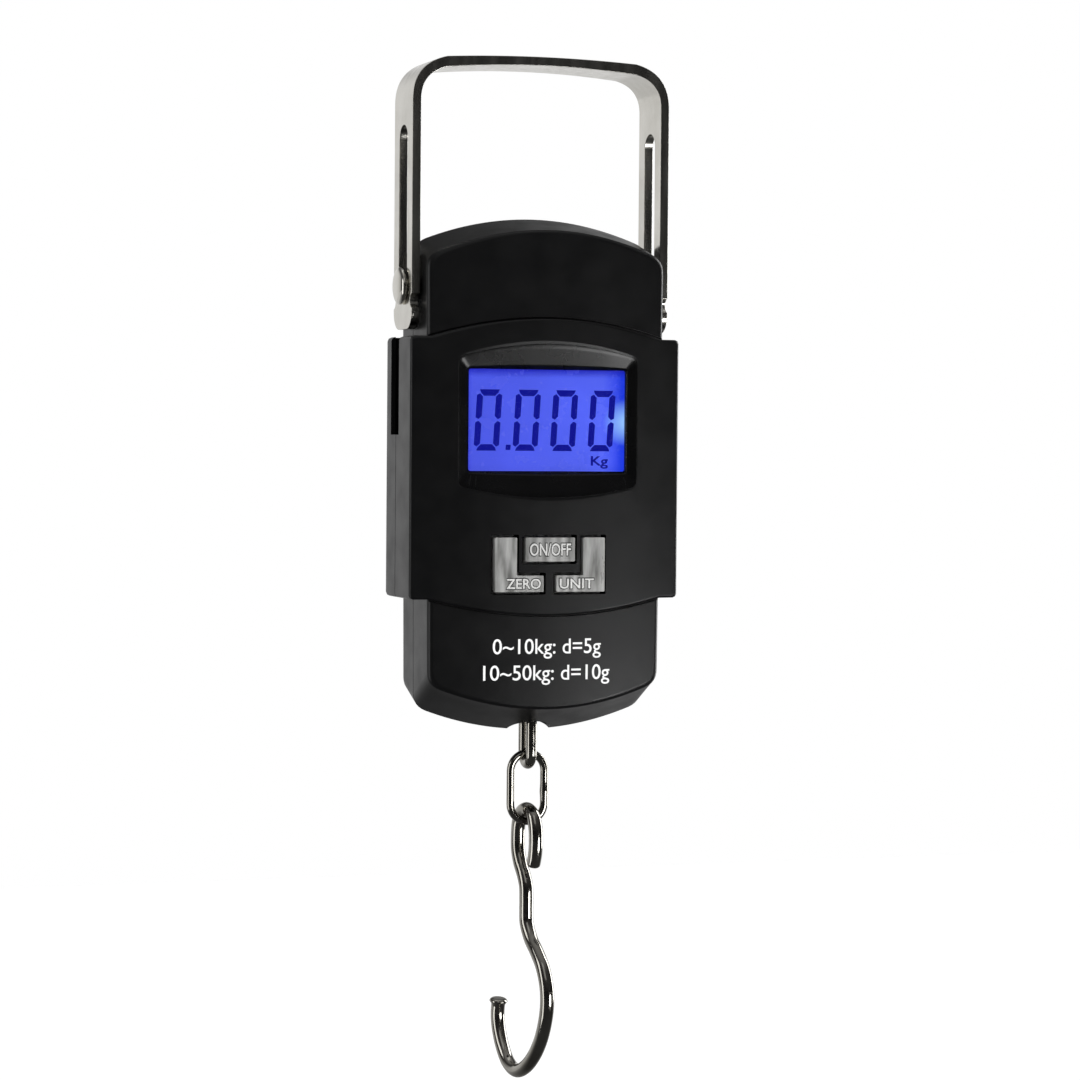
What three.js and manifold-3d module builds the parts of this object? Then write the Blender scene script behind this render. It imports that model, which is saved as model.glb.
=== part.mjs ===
// Digital hanging fish scale: a flat steel bail handle that slides down into the housing's side sleeves,
// a two-part moulded housing with a lit display and three keys, and a hook on a link below a load cell.
// Millimetres, +Z up, front towards -Y. The origin is the middle of the handle's underside, where a hand
// carries it. The plane Y = 0 holds the handle, the load cell and the hook, and it parts the two shells.

import * as THREE from "three";
import { ConvexGeometry } from "three/addons/geometries/ConvexGeometry.js";
import { mergeVertices } from "three/addons/utils/BufferGeometryUtils.js";
import Module from "manifold-3d";

const wasm = await Module();
wasm.setup();

// ---------------------------------------------------------------- driving dimensions
const GAP = 0.3; // between pieces that touch

// handle: a bent strip with a long slot in each leg
const STRIP_WIDTH = 16;
const STRIP_THICK = 2.2;
const HANDLE_HALF = 34; // outer face of a leg
const HANDLE_ARCH = 2.8; // rise of the crossbar in its middle
const HANDLE_CORNER = 9; // outer bend radius
const LEG_BOTTOM = -66.6;
const LEG_CORNER = 4.5;
const SLOT_WIDTH = 7.4;
const SLOT_TOP = -15.4;
const SLOT_BOTTOM = -59.4;
const NOTCH_DEPTH = 1.6; // waist above the leg's end tab
const NOTCH_TOP = -57.8;
const NOTCH_BOTTOM = -61.3;

// housing
const BODY_TOP = -38.1; // at the parting plane
const BODY_BOTTOM = -167.8;
const BODY_ARC = 76; // radius of the top and bottom arcs
const UPPER_HALF = 31.3;
const LOWER_HALF = 30.5;
const BACK_Y = 10.1;
const SIDE_FRONT_Y = -12.9; // where a side wall meets the bowed front
const FRONT_Y = -16.4; // middle of the raised band
const BODY_FRONT_Y = -15.4; // middle of the front above and below the band
const TOP_TAPER = 3.4; // how far the top arc drops from the parting plane to the front
const BOTTOM_TAPER = 6; // how far the bottom arc rises
const BACK_TAPER = 3.5;
const WALL = 1.8;
const SEAM = 0.1; // half the line between the two shells

// raised band round the middle, which also makes the sleeves for the legs
const BAND_HALF = 35.5;
const BAND_TOP = -68.4;
const BAND_BOTTOM = -133.9;
const BAND_TOP_ARC = -63.7;
const BAND_BOTTOM_ARC = -138;
const BAND_ARC_HALF = 30.6;
const SLEEVE_OUT = 34.35;
const SLEEVE_HALF_DEPTH = 8.4;
const SLEEVE_FLOOR = -132;
const SIDE_SLOT_BOTTOM = -93;
const SIDE_SLOT_Y = [-2.4, 4.6];

// display
const WINDOW_HALF = 20.8;
const WINDOW_TOP = -76.4;
const WINDOW_BOTTOM = -101.9;
const RECESS_HALF = 23.8;
const RECESS_TOP = -73.1;
const RECESS_BOTTOM = -106;
const RECESS_ARC = 3.6; // bulge of the recess's upper and lower edges
const RECESS_FLOOR_Y = -13.9;
const CAVITY_FRONT_Y = -12;

// keys
const KEYS_TOP = -118.4;
const KEYS_BOTTOM = -132;
const KEYS_HALF = 14.45;
const SIDE_KEY_BAR = 5.7; // width of the upright stroke of an L key
const SIDE_KEY_FOOT_TOP = -127.9;
const SIDE_KEY_FOOT_END = 1.7;
const MIDDLE_KEY_HALF = 6.5;
const MIDDLE_KEY_BOTTOM = -124.4;
const KEY_CLEARANCE = 0.6;
const KEY_LIP = 0.95;
const KEY_FACE_Y = -16.9;
const KEY_BACK_Y = -10.9;

// load path
const STUD_Z = -55.7;
const STUD_RADIUS = 3.4;
const STUD_HEAD_RADIUS = 4.7;
const YOKE_TOP = -48.5;
const YOKE_THICK = 3;
const YOKE_HALF = 29.1;
const YOKE_DEPTH = 5.5;
const EAR_BOTTOM = -61;
const CELL_TOP = -52;
const CELL_BOTTOM = -140;
const CELL_HALF = 6.5;
const CELL_DEPTH = 4;
const THREAD_RADIUS = 2;
const THREAD_HOLE = 2.3;

// hook train
const EYE_WIRE = 1.4;
const EYE_HALF = 3;
const EYE_TOP = -163.3; // wire centres
const EYE_BOTTOM = -176.6;
const LINK_WIRE = 1;
const LINK_HALF = 4.5;
const LINK_TOP = EYE_BOTTOM + EYE_WIRE + LINK_WIRE + GAP;
const LINK_BOTTOM = LINK_TOP - 17.5;
const HOOK_WIRE = 1.8;
const HOOK_TOP = LINK_BOTTOM + LINK_WIRE + HOOK_WIRE + GAP;
const HOOK_TIP = [14, -240];
const HOOK_TURN = 11.7; // degrees that the hook hangs turned about its shank

// batteries, two of size AAA
const CELL_SIZE = 5.2;
const BATTERY_X = 15.6;
const BATTERY_Y = 2.6;
const BATTERY_LENGTH = 43.7;
const BAY_TOP = -79;
const BAY_BOTTOM = -130;
const BAY_HALF_WELL = 5.8;
const COVER_HALF = 24.9;
const COVER_TOP = -76.1;
const COVER_BOTTOM = -131.9;

const housingScrews = [
  [-14, -45.2],
  [14, -45.2],
  [-20, -150],
  [20, -150],
];
const boardScrews = [
  [-24.8, -110],
  [24.8, -110],
];

// ---------------------------------------------------------------- solids
// A closed geometry as a manifold-3d solid.
function solid(geometry) {
  const bare = geometry.index ? geometry.toNonIndexed() : geometry.clone();
  bare.deleteAttribute("normal");
  bare.deleteAttribute("uv");
  const merged = mergeVertices(bare, 1e-4);
  return new wasm.Manifold(
    new wasm.Mesh({
      numProp: 3,
      vertProperties: new Float32Array(merged.attributes.position.array),
      triVerts: new Uint32Array(merged.index.array),
    }),
  );
}

function geometryOf(manifold) {
  const mesh = manifold.getMesh();
  const geometry = new THREE.BufferGeometry();
  geometry.setAttribute("position", new THREE.BufferAttribute(mesh.vertProperties, 3));
  geometry.setIndex(new THREE.BufferAttribute(mesh.triVerts, 1));
  geometry.computeVertexNormals();
  return geometry;
}

function box([x0, x1], [y0, y1], [z0, z1]) {
  const geometry = new THREE.BoxGeometry(x1 - x0, y1 - y0, z1 - z0);
  return solid(geometry.translate((x0 + x1) / 2, (y0 + y1) / 2, (z0 + z1) / 2));
}

// A cylinder along X, Y or Z from a to b, through the point (p, q) of the other two axes in order.
function rod(axis, radius, [a, b], [p, q], sides = 24) {
  const geometry = new THREE.CylinderGeometry(radius, radius, b - a, sides);
  const middle = (a + b) / 2;
  if (axis === "x") return solid(geometry.rotateZ(Math.PI / 2).translate(middle, p, q));
  if (axis === "z") return solid(geometry.rotateX(Math.PI / 2).translate(p, q, middle));
  return solid(geometry.translate(p, middle, q));
}

// A shape drawn in X and Z, from y0 to y1.
function frontPrism(shape, [y0, y1], curveSegments = 16) {
  const geometry = new THREE.ExtrudeGeometry(shape, { depth: y1 - y0, bevelEnabled: false, curveSegments });
  return solid(geometry.rotateX(Math.PI / 2).translate(0, y1, 0));
}

// A shape drawn in X and Y, from z0 to z1.
function planPrism(shape, [z0, z1], curveSegments = 24) {
  const geometry = new THREE.ExtrudeGeometry(shape, { depth: z1 - z0, bevelEnabled: false, curveSegments });
  return solid(geometry.translate(0, 0, z0));
}

// A shape drawn in Y and Z, from x0 to x1.
function sidePrism(shape, [x0, x1], curveSegments = 12) {
  const geometry = new THREE.ExtrudeGeometry(shape, { depth: x1 - x0, bevelEnabled: false, curveSegments });
  const turn = new THREE.Matrix4().makeBasis(
    new THREE.Vector3(0, 1, 0),
    new THREE.Vector3(0, 0, 1),
    new THREE.Vector3(1, 0, 0),
  );
  return solid(geometry.applyMatrix4(turn).translate(x0, 0, 0));
}

function polygon(points) {
  return new THREE.Shape(points.map(([a, b]) => new THREE.Vector2(a, b)));
}

// A round-ended slot, upright in its own two axes.
function slotShape(centre, halfWidth, low, high) {
  const shape = new THREE.Shape();
  shape.absarc(centre, high - halfWidth, halfWidth, 0, Math.PI, false);
  shape.absarc(centre, low + halfWidth, halfWidth, Math.PI, 2 * Math.PI, false);
  return shape;
}

function join(...parts) {
  return parts.reduce((whole, part) => whole.add(part));
}

function cut(whole, ...tools) {
  return tools.reduce((left, tool) => left.subtract(tool), whole);
}

// A closed wire in the plane of the two half-turns: an oval of the given half width between two heights.
function ovalWire(halfWidth, top, bottom, wire, upright, steps = 40, sides = 10) {
  const points = [];
  const turns = 10;
  for (let i = 0; i <= turns; i++) {
    const a = (Math.PI * i) / turns;
    points.push([halfWidth * Math.cos(a), top - halfWidth + halfWidth * Math.sin(a)]);
  }
  for (let i = 0; i <= turns; i++) {
    const a = Math.PI + (Math.PI * i) / turns;
    points.push([halfWidth * Math.cos(a), bottom + halfWidth + halfWidth * Math.sin(a)]);
  }
  const curve = new THREE.CatmullRomCurve3(
    points.map(([w, z]) => (upright === "x" ? new THREE.Vector3(w, 0, z) : new THREE.Vector3(0, w, z))),
    true,
  );
  return solid(new THREE.TubeGeometry(curve, steps, wire, sides, true));
}

// A round wire along an open line of points.
function openWire(points, wire, steps, sides = 12) {
  const circle = new THREE.Shape();
  circle.absarc(0, 0, wire, 0, 2 * Math.PI, false);
  const path = new THREE.CatmullRomCurve3(points.map(([x, y, z]) => new THREE.Vector3(x, y, z)));
  const options = { steps, bevelEnabled: false, extrudePath: path, curveSegments: sides };
  return solid(new THREE.ExtrudeGeometry(circle, options));
}

// ---------------------------------------------------------------- materials and assembly
function finish(color, roughness, metalness) {
  return new THREE.MeshStandardMaterial({ color, roughness, metalness });
}

const MATERIALS = {
  blackPlastic: finish(0x141416, 0.5, 0),
  chromedSteel: finish(0xb8b8b4, 0.2, 1),
  zincSteel: finish(0x9a9c9e, 0.4, 1),
  aluminium: finish(0xb4b6ba, 0.45, 1),
  silverKey: finish(0x9a9a98, 0.35, 0.6),
  clear: finish(0xc8d0e0, 0.08, 0),
  display: finish(0x3a46ff, 0.3, 0),
  diffuser: finish(0xe8e8f4, 0.5, 0),
  board: finish(0x1c5a34, 0.5, 0),
  rubber: finish(0x3c3c3e, 0.8, 0),
  batteryWrap: finish(0x2c3a48, 0.4, 0.3),
  gaugeFoil: finish(0xb8863c, 0.5, 0.2),
};
const part = new THREE.Group();

function add(name, manifold, material, place = {}) {
  const mesh = new THREE.Mesh(geometryOf(manifold), MATERIALS[material]);
  mesh.name = name;
  if (place.turn) mesh.rotation.z = THREE.MathUtils.degToRad(place.turn);
  part.add(mesh);
}

// ---------------------------------------------------------------- handle
// One edge of the strip, from the left leg's foot over the arched crossbar to the right leg's foot.
function stripEdge(half, corner, crown) {
  const rise = HANDLE_ARCH;
  const reach = half - corner;
  const shoulder = crown - rise;
  const left = new THREE.Path();
  left.moveTo(-half, LEG_BOTTOM);
  left.lineTo(-half, shoulder - corner);
  left.quadraticCurveTo(-half, shoulder, -reach, shoulder + (2 * rise * corner) / reach);
  left.quadraticCurveTo(-reach / 2, crown, 0, crown);
  const points = left.getPoints(8);
  const mirrored = points.slice(0, -1).reverse();
  return [...points, ...mirrored.map((p) => new THREE.Vector2(-p.x, p.y))];
}

function handle() {
  const outer = stripEdge(HANDLE_HALF, HANDLE_CORNER, STRIP_THICK);
  const inner = stripEdge(HANDLE_HALF - STRIP_THICK, HANDLE_CORNER - STRIP_THICK, 0);
  const strip = new THREE.Shape([...outer, ...inner.reverse()]);
  let bail = frontPrism(strip, [-STRIP_WIDTH / 2, STRIP_WIDTH / 2]);
  const half = STRIP_WIDTH / 2;
  const outside = new THREE.Shape();
  outside.moveTo(-half - 1, LEG_BOTTOM - 1);
  outside.lineTo(half + 1, LEG_BOTTOM - 1);
  outside.lineTo(half + 1, LEG_BOTTOM + LEG_CORNER);
  outside.lineTo(half, LEG_BOTTOM + LEG_CORNER);
  outside.absarc(half - LEG_CORNER, LEG_BOTTOM + LEG_CORNER, LEG_CORNER, 0, -Math.PI / 2, true);
  outside.absarc(-half + LEG_CORNER, LEG_BOTTOM + LEG_CORNER, LEG_CORNER, -Math.PI / 2, -Math.PI, true);
  outside.lineTo(-half - 1, LEG_BOTTOM + LEG_CORNER);
  const across = [-HANDLE_HALF - 1, HANDLE_HALF + 1];
  const slot = sidePrism(slotShape(0, SLOT_WIDTH / 2, SLOT_BOTTOM, SLOT_TOP), across);
  bail = cut(bail, sidePrism(outside, across), slot);
  const waist = (NOTCH_TOP - NOTCH_BOTTOM) / 2;
  for (const side of [-1, 1]) {
    const edge = side * (half - NOTCH_DEPTH + waist);
    bail = cut(bail, rod("x", waist, across, [edge, (NOTCH_TOP + NOTCH_BOTTOM) / 2], 16));
  }
  return bail;
}

// ---------------------------------------------------------------- housing shells
// The narrow body's outline at one depth: arcs above and below, slightly drawn-in sides.
function bodyOutline(drop, rise, inset) {
  const top = BODY_TOP - drop - inset;
  const bottom = BODY_BOTTOM + rise + inset;
  const upper = UPPER_HALF - inset;
  const lower = LOWER_HALF - inset;
  const arc = (half, t) => BODY_ARC - Math.sqrt(BODY_ARC ** 2 - (half * t) ** 2);
  const points = [];
  const steps = 16;
  for (let i = -steps; i <= steps; i++) {
    const t = i / steps;
    points.push([upper * t, top - arc(upper, t)]);
    points.push([lower * t, bottom + arc(lower, t)]);
  }
  return points;
}

function bodyHull(inset, front, back) {
  const sections = [
    [back, BACK_TAPER * 0.5, BACK_TAPER],
    [0, 0, 0],
    [front, TOP_TAPER, BOTTOM_TAPER],
  ];
  const points = sections.flatMap(([y, drop, rise]) =>
    bodyOutline(drop, rise, inset).map(([x, z]) => new THREE.Vector3(x, y, z)),
  );
  return solid(new ConvexGeometry(points));
}

// Everything behind a bowed front: the bow runs from (half, edgeY) through (0, midY).
function bowedPlan(half, edgeY, midY) {
  const sag = edgeY - midY;
  const radius = (half * half + sag * sag) / (2 * sag);
  const reach = half + 1.5;
  const shape = new THREE.Shape();
  const swing = Math.asin(reach / radius);
  shape.absarc(0, midY + radius, radius, -Math.PI / 2 - swing, -Math.PI / 2 + swing, false);
  shape.lineTo(reach, BACK_Y + 5);
  shape.lineTo(-reach, BACK_Y + 5);
  return planPrism(shape, [BODY_BOTTOM - 5, BODY_TOP + 5]);
}

function bandOutline() {
  const sagTop = BAND_TOP_ARC - BAND_TOP;
  const sagBottom = BAND_BOTTOM - BAND_BOTTOM_ARC;
  const radius = (sag) => (BAND_ARC_HALF ** 2 + sag ** 2) / (2 * sag);
  const rTop = radius(sagTop);
  const rBottom = radius(sagBottom);
  const aTop = Math.asin(BAND_ARC_HALF / rTop);
  const aBottom = Math.asin(BAND_ARC_HALF / rBottom);
  const shape = new THREE.Shape();
  shape.moveTo(-BAND_HALF, BAND_BOTTOM);
  shape.lineTo(-BAND_HALF, BAND_TOP);
  shape.absarc(0, BAND_TOP_ARC - rTop, rTop, Math.PI / 2 + aTop, Math.PI / 2 - aTop, true);
  shape.lineTo(BAND_HALF, BAND_TOP);
  shape.lineTo(BAND_HALF, BAND_BOTTOM);
  shape.absarc(0, BAND_BOTTOM_ARC + rBottom, rBottom, -Math.PI / 2 + aBottom, -Math.PI / 2 - aBottom, true);
  return shape;
}

// The band's plan: bowed in front, with its back edges rounded off.
function bandSides() {
  const corner = 2.5;
  const shape = new THREE.Shape();
  shape.moveTo(-BAND_HALF, FRONT_Y - 1);
  shape.lineTo(BAND_HALF, FRONT_Y - 1);
  shape.absarc(BAND_HALF - corner, BACK_Y - corner, corner, 0, Math.PI / 2, false);
  shape.absarc(-BAND_HALF + corner, BACK_Y - corner, corner, Math.PI / 2, Math.PI, false);
  return planPrism(shape, [BODY_BOTTOM, BODY_TOP]);
}

function outerBody() {
  const narrow = bodyHull(0, BODY_FRONT_Y, BACK_Y).intersect(
    bowedPlan(UPPER_HALF, SIDE_FRONT_Y, BODY_FRONT_Y),
  );
  const band = frontPrism(bandOutline(), [FRONT_Y - 1, BACK_Y])
    .intersect(bowedPlan(BAND_HALF, SIDE_FRONT_Y, FRONT_Y))
    .intersect(bandSides());
  return narrow.add(band);
}

function cavity() {
  const reach = UPPER_HALF;
  const plan = polygon([
    [-reach, -9.5],
    [-25, CAVITY_FRONT_Y],
    [25, CAVITY_FRONT_Y],
    [reach, -9.5],
    [reach, BACK_Y - WALL],
    [-reach, BACK_Y - WALL],
  ]);
  return bodyHull(WALL, BODY_FRONT_Y, BACK_Y).intersect(planPrism(plan, [BODY_BOTTOM, BODY_TOP]));
}

// The passages that both shells share: leg sleeves, side slots, stud holes and the eye bolt's hole.
function passages() {
  const depth = [-SLEEVE_HALF_DEPTH, SLEEVE_HALF_DEPTH];
  const cuts = [rod("z", 5.6, [BODY_BOTTOM - 2, BODY_BOTTOM + 12], [0, 0], 28)];
  for (const side of [-1, 1]) {
    const span = (a, b) => (side > 0 ? [a, b] : [-b, -a]);
    cuts.push(
      box(span(UPPER_HALF, SLEEVE_OUT), depth, [SLEEVE_FLOOR, BAND_TOP + 1]),
      box(span(SLEEVE_OUT - 0.5, BAND_HALF + 1), SIDE_SLOT_Y, [SIDE_SLOT_BOTTOM, BAND_TOP + 1]),
      rod("x", STUD_RADIUS + 0.5, span(UPPER_HALF - 4, UPPER_HALF + 1), [0, STUD_Z]),
    );
  }
  return cuts;
}

// The display recess: an arched outline in front that slopes in to the window's rectangle.
function displayRecess() {
  const outer = [];
  const steps = 8;
  const height = RECESS_TOP - RECESS_BOTTOM;
  for (let i = -steps; i <= steps; i++) {
    const t = i / steps;
    const bulge = RECESS_ARC * (1 - t * t);
    outer.push([RECESS_HALF * t, RECESS_TOP + bulge], [RECESS_HALF * t, RECESS_TOP - height - bulge * 0.9]);
  }
  const slope = 1.4; // how far past the front surface the slope is carried on
  const grow = (FRONT_Y - RECESS_FLOOR_Y - slope) / (FRONT_Y - RECESS_FLOOR_Y);
  const middle = (WINDOW_TOP + WINDOW_BOTTOM) / 2;
  const points = [];
  for (const [x, z] of outer) {
    const edgeX = Math.sign(x) * Math.min(Math.abs(x), WINDOW_HALF);
    const edgeZ = z > middle ? WINDOW_TOP : WINDOW_BOTTOM;
    points.push(new THREE.Vector3(edgeX + (x - edgeX) * grow, FRONT_Y - slope, edgeZ + (z - edgeZ) * grow));
  }
  for (const x of [-WINDOW_HALF, WINDOW_HALF]) {
    points.push(new THREE.Vector3(x, RECESS_FLOOR_Y, WINDOW_TOP));
    points.push(new THREE.Vector3(x, RECESS_FLOOR_Y, WINDOW_BOTTOM));
  }
  return solid(new ConvexGeometry(points));
}

// The three key outlines, grown by a clearance or a lip. side is -1, 0 or 1.
function keyShape(side, grow) {
  const g = grow;
  if (side === 0)
    return polygon([
      [-MIDDLE_KEY_HALF - g, MIDDLE_KEY_BOTTOM - g],
      [MIDDLE_KEY_HALF + g, MIDDLE_KEY_BOTTOM - g],
      [MIDDLE_KEY_HALF + g, KEYS_TOP + g],
      [-MIDDLE_KEY_HALF - g, KEYS_TOP + g],
    ]);
  const barInner = KEYS_HALF - SIDE_KEY_BAR;
  const points = [
    [KEYS_HALF + g, KEYS_TOP + g],
    [KEYS_HALF + g, KEYS_BOTTOM - g],
    [SIDE_KEY_FOOT_END - g, KEYS_BOTTOM - g],
    [SIDE_KEY_FOOT_END - g, SIDE_KEY_FOOT_TOP + g],
    [barInner - g, SIDE_KEY_FOOT_TOP + g],
    [barInner - g, KEYS_TOP + g],
  ];
  return polygon(points.map(([x, z]) => [side * x, z]));
}

function frontHousing() {
  const behind = box([-50, 50], [-SEAM, 50], [BODY_BOTTOM - 20, BODY_TOP + 20]);
  let shell = cut(outerBody(), cavity(), behind, ...passages());
  for (const [x, z] of housingScrews)
    shell = cut(
      shell.add(rod("y", 2.4, [CAVITY_FRONT_Y - 0.5, -SEAM], [x, z], 20)),
      rod("y", 1.4, [-9, 1], [x, z], 16),
    );
  for (const [x, z] of boardScrews)
    shell = cut(
      shell.add(rod("y", 2.2, [CAVITY_FRONT_Y - 0.5, -6.5], [x, z], 20)),
      rod("y", 1.2, [-11.5, -6], [x, z], 16),
    );
  return cut(
    shell,
    displayRecess(),
    box([-WINDOW_HALF, WINDOW_HALF], [FRONT_Y, 0], [WINDOW_BOTTOM, WINDOW_TOP]),
    box([-23.4, 23.4], [-12.9, -8], [-104.6, -73.7]),
    ...[-1, 0, 1].map((side) => frontPrism(keyShape(side, KEY_CLEARANCE), [-20, -10])),
  );
}

function rearHousing() {
  const ahead = box([-50, 50], [-50, SEAM], [BODY_BOTTOM - 20, BODY_TOP + 20]);
  let shell = cut(outerBody(), cavity(), ahead, ...passages());
  const ledge = box([-26.8, 26.8], [6.6, BACK_Y - WALL], [-133.8, -74.2]);
  const block = box([-22.4, 22.4], [-4.3, 8.2], [-132, -76]);
  shell = join(shell, ledge, block);
  for (const [x, z] of housingScrews)
    shell = cut(
      shell.add(rod("y", 2.9, [SEAM, BACK_Y - WALL], [x, z], 20)),
      rod("y", 1.4, [-1, BACK_Y + 1], [x, z], 16),
      rod("y", 2.3, [7.4, BACK_Y + 1], [x, z], 20),
    );
  for (const side of [-1, 1]) {
    const x = side * BATTERY_X;
    const well = [x - BAY_HALF_WELL, x + BAY_HALF_WELL];
    shell = cut(shell, box(well, [-3.1, BACK_Y], [BAY_BOTTOM, BAY_TOP]));
  }
  const wide = COVER_HALF + GAP;
  return cut(
    shell,
    box([-CELL_HALF - 0.9, CELL_HALF + 0.9], [-6, 6.4], [-134, -74]),
    box([-wide, wide], [BACK_Y - WALL, BACK_Y + 1], [COVER_BOTTOM - GAP, COVER_TOP + GAP]),
    box([-6, 6], [5.5, BACK_Y + 1], [COVER_TOP - 1, COVER_TOP + 3]),
  );
}

// The battery cover, with a finger groove and a spring tongue at its top edge.
function batteryCover() {
  const depth = [BACK_Y - WALL + GAP, BACK_Y - 0.1];
  const plate = box([-COVER_HALF, COVER_HALF], depth, [COVER_BOTTOM, COVER_TOP]);
  const tongue = box([-5.6, 5.6], depth, [COVER_TOP - 0.5, COVER_TOP + 2.6]);
  const relief = [-1, 1].map((s) =>
    box([s * 6.6 - 0.5, s * 6.6 + 0.5], [BACK_Y - 3, BACK_Y + 1], [COVER_TOP - 9, COVER_TOP + 1]),
  );
  const ribs = [0, 1, 2, 3].map((i) =>
    box([-4.5, 4.5], [BACK_Y - 0.6, BACK_Y + 1], [COVER_TOP - 7 + i * 1.8, COVER_TOP - 6.2 + i * 1.8]),
  );
  return cut(plate.add(tongue), ...relief, ...ribs);
}

// ---------------------------------------------------------------- keys and display
function key(side) {
  const cap = frontPrism(keyShape(side, 0), [KEY_FACE_Y, KEY_BACK_Y]);
  const lip = frontPrism(keyShape(side, KEY_LIP), [CAVITY_FRONT_Y + GAP, KEY_BACK_Y]);
  return cap.add(lip);
}

function keyMat() {
  const sheet = box([-16, 16], [-7.6, -6.5], [-133.4, -117]);
  const domes = [
    [0, -121.4],
    [-11.6, -127],
    [11.6, -127],
  ].map(([x, z]) => rod("y", 2, [-9.9, -7.5], [x, z], 16));
  return join(sheet, ...domes);
}

// ---------------------------------------------------------------- load path
function yoke() {
  const bar = box([-YOKE_HALF, YOKE_HALF], [-YOKE_DEPTH, YOKE_DEPTH], [YOKE_TOP - YOKE_THICK, YOKE_TOP]);
  const ears = [-1, 1].map((s) => {
    const span = s > 0 ? [YOKE_HALF - 2, YOKE_HALF] : [-YOKE_HALF, -YOKE_HALF + 2];
    return box(span, [-YOKE_DEPTH, YOKE_DEPTH], [EAR_BOTTOM, YOKE_TOP]);
  });
  return cut(
    join(bar, ...ears),
    rod("x", THREAD_HOLE, [-YOKE_HALF - 1, YOKE_HALF + 1], [0, STUD_Z], 20),
    rod("z", THREAD_HOLE, [YOKE_TOP - 5, YOKE_TOP + 1], [0, 0], 20),
  );
}

// A shoulder stud: thread, shoulder in the leg's slot, domed head outside.
function stud(side) {
  const inner = UPPER_HALF - 1.8;
  const head = HANDLE_HALF + GAP;
  const profile = [
    [0, 24],
    [THREAD_RADIUS, 24],
    [THREAD_RADIUS, inner],
    [STUD_RADIUS, inner],
    [STUD_RADIUS, head],
    [STUD_HEAD_RADIUS, head],
    [STUD_HEAD_RADIUS, head + 0.5],
    [STUD_HEAD_RADIUS - 0.8, head + 1.3],
    [STUD_HEAD_RADIUS - 2.4, head + 1.7],
    [0, head + 1.8],
  ].map(([r, x]) => new THREE.Vector2(r, x));
  const lathe = new THREE.LatheGeometry(profile, 24);
  return solid(lathe.rotateZ((-side * Math.PI) / 2).translate(0, 0, STUD_Z));
}

function hexNut(axis, acrossFlats, [a, b], at, hole) {
  const nut = rod(axis, acrossFlats / Math.sqrt(3), [a, b], at, 6);
  return nut.subtract(rod(axis, hole, [a - 1, b + 1], at, 20));
}

function loadCell() {
  const gaugeHoles = [-88, -104];
  return cut(
    box([-CELL_HALF, CELL_HALF], [-CELL_DEPTH, CELL_DEPTH], [CELL_BOTTOM, CELL_TOP]),
    ...gaugeHoles.map((z) => rod("y", 4.6, [-5, 5], [0, z], 28)),
    box([-1.5, 1.5], [-5, 5], gaugeHoles.slice().reverse()),
    rod("z", THREAD_HOLE, [-66, CELL_TOP + 1], [0, 0], 20),
    rod("z", 2.6, [CELL_BOTTOM - 1, -126], [0, 0], 20),
  );
}

function yokeBolt() {
  return join(
    rod("z", 3.6, [YOKE_TOP + GAP, YOKE_TOP + 3], [0, 0], 6),
    rod("z", THREAD_RADIUS, [-64.5, YOKE_TOP + 1], [0, 0], 20),
  );
}

function eyeBolt() {
  return join(
    ovalWire(EYE_HALF, EYE_TOP, EYE_BOTTOM, EYE_WIRE, "y", 40, 12),
    rod("z", 2.3, [EYE_TOP, -128], [0, 0], 20),
  );
}

// ---------------------------------------------------------------- hook
// One wire in the local YZ plane: a tall eye with a free end, a straight shank, and a bow with its tip
// towards +Y.
function hook() {
  const eye = [
    [-3.5, 13.6],
    [-4.3, 11],
    [-4.6, 7.5],
    [-4.2, 3.8],
    [-2.7, 1.1],
    [0, 0],
    [2.7, 1.1],
    [4.2, 3.8],
    [4.6, 7.5],
    [4.4, 11],
    [3.2, 14.2],
    [1.4, 17],
    [0.2, 19.8],
  ];
  const bow = [
    [0, -211.5],
    [0, -214.5],
    [-0.3, -217.6],
    [-2.4, -221.2],
    [-5.6, -224.3],
    [-8.6, -227.8],
    [-10.5, -232.3],
    [-10.9, -236.8],
    [-10, -241.4],
    [-7.9, -246.3],
    [-4.6, -250.8],
    [-0.3, -254.4],
    [4.3, -256.1],
    [8.6, -254.7],
    [11.8, -251],
    [13.8, -246.6],
    [14.4, -243],
    HOOK_TIP,
  ];
  const line = [...eye.map(([y, drop]) => [0, y, HOOK_TOP - drop]), ...bow.map(([y, z]) => [0, y, z])];
  const flare = new THREE.CylinderGeometry(HOOK_WIRE + 0.6, HOOK_WIRE, 1.2, 16).rotateX(Math.PI / 2);
  return join(openWire(line, HOOK_WIRE, 88, 6), solid(flare.translate(0, ...HOOK_TIP)));
}

// ---------------------------------------------------------------- batteries and contacts
// nubUp says which end carries the positive cap.
function battery(side, nubUp) {
  const top = nubUp ? -81.1 : -84.7;
  const bottom = top - BATTERY_LENGTH;
  const at = [side * BATTERY_X, BATTERY_Y];
  const nub = nubUp ? [top - 0.2, top + 0.8] : [bottom - 0.8, bottom + 0.2];
  return join(rod("z", CELL_SIZE, [bottom, top], at, 28), rod("z", 1.9, nub, at, 16));
}

function contactSpring(side, low, high) {
  const turns = 3;
  const perTurn = 10;
  const points = [];
  for (let i = 0; i <= turns * perTurn; i++) {
    const t = i / (turns * perTurn);
    const a = 2 * Math.PI * turns * t;
    const radius = 3.9 - 1.4 * t;
    const x = side * BATTERY_X + radius * Math.cos(a);
    points.push([x, BATTERY_Y + radius * Math.sin(a), low + (high - low) * t]);
  }
  return openWire(points, 0.35, 48, 3);
}

function contactPlate(side, low) {
  return box([side * BATTERY_X - 4.5, side * BATTERY_X + 4.5], [-2, 7], [low, low + 0.5]);
}

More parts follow.
